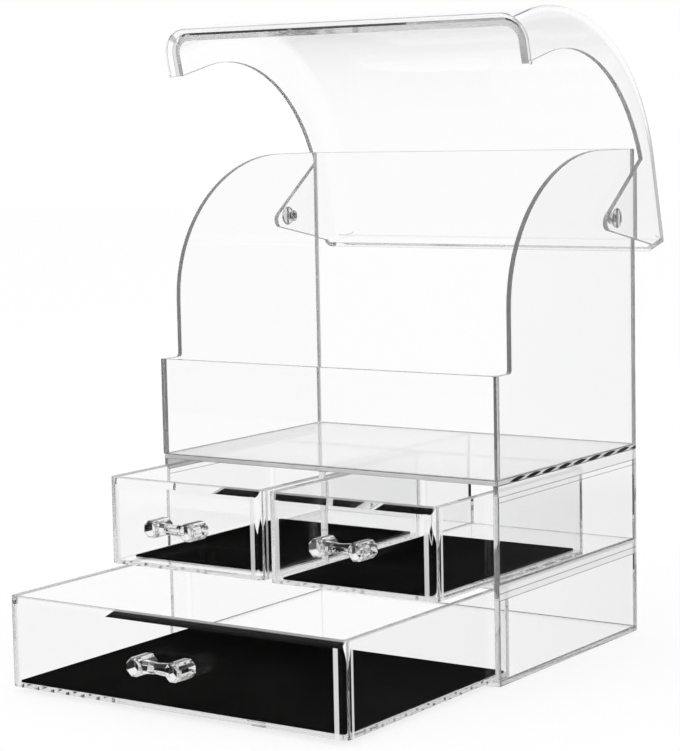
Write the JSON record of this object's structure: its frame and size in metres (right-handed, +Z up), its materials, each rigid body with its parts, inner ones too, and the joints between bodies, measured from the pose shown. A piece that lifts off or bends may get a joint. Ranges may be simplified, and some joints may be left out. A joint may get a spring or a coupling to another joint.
{
  "type": "makeup organizer",
  "caption": "Clear plastic makeup organizer: an open display box with a pivoting dustproof hood stands on a cabinet of pull-out drawers with black liners and faceted handles.",
  "frame": {"origin": "centre of the cabinet's flat underside, with the drawers and the hood left out of account", "axes": "+X to the object's left-to-right width as seen from the front, -Y towards the front, +Z up"},
  "size_m": [0.258, 0.3698, 0.3846],
  "materials": {
    "case_sheet": "clear polished",
    "hood_plastic": "clear polished, moulded",
    "tray_plastic": "clear polished, moulded",
    "handle_plastic": "clear faceted",
    "pivot_plastic": "clear moulded",
    "liner": "matte black"
  },
  "bodies": {
    "cabinet": {"base_panel": "case_sheet", "left_wall": "case_sheet", "right_wall": "case_sheet", "cabinet_back": "case_sheet", "middle_shelf": "case_sheet", "drawer_divider": "case_sheet", "display_floor": "case_sheet", "front_panel": "case_sheet", "left_side_panel": "case_sheet", "right_side_panel": "case_sheet", "display_back": "case_sheet", "left_pivot_screw": "pivot_plastic", "right_pivot_screw": "pivot_plastic", "left_pivot_nut": "pivot_plastic", "right_pivot_nut": "pivot_plastic"},
    "hood": {"hood_lid": "hood_plastic"},
    "large_drawer": {"large_tray": "tray_plastic", "large_liner": "liner", "large_handle": "handle_plastic"},
    "left_drawer": {"left_tray": "tray_plastic", "left_liner": "liner", "left_handle": "handle_plastic"},
    "right_drawer": {"right_tray": "tray_plastic", "right_liner": "liner", "right_handle": "handle_plastic"}
  },
  "joints": [
    {"name": "hood_hinge", "type": "hinge", "parent": "cabinet", "child": "hood", "pos_m": [0, 0.0535, 0.259], "axis": [1, 0, 0], "range_deg": [-28, 76]},
    {"name": "large_drawer_slide", "type": "slide", "parent": "cabinet", "child": "large_drawer", "axis": [0, -1, 0], "range_m": [-0.147, 0.003]},
    {"name": "left_drawer_slide", "type": "slide", "parent": "cabinet", "child": "left_drawer", "axis": [0, -1, 0], "range_m": [-0.057, 0.093]},
    {"name": "right_drawer_slide", "type": "slide", "parent": "cabinet", "child": "right_drawer", "axis": [0, -1, 0], "range_m": [-0.059, 0.091]}
  ]
}
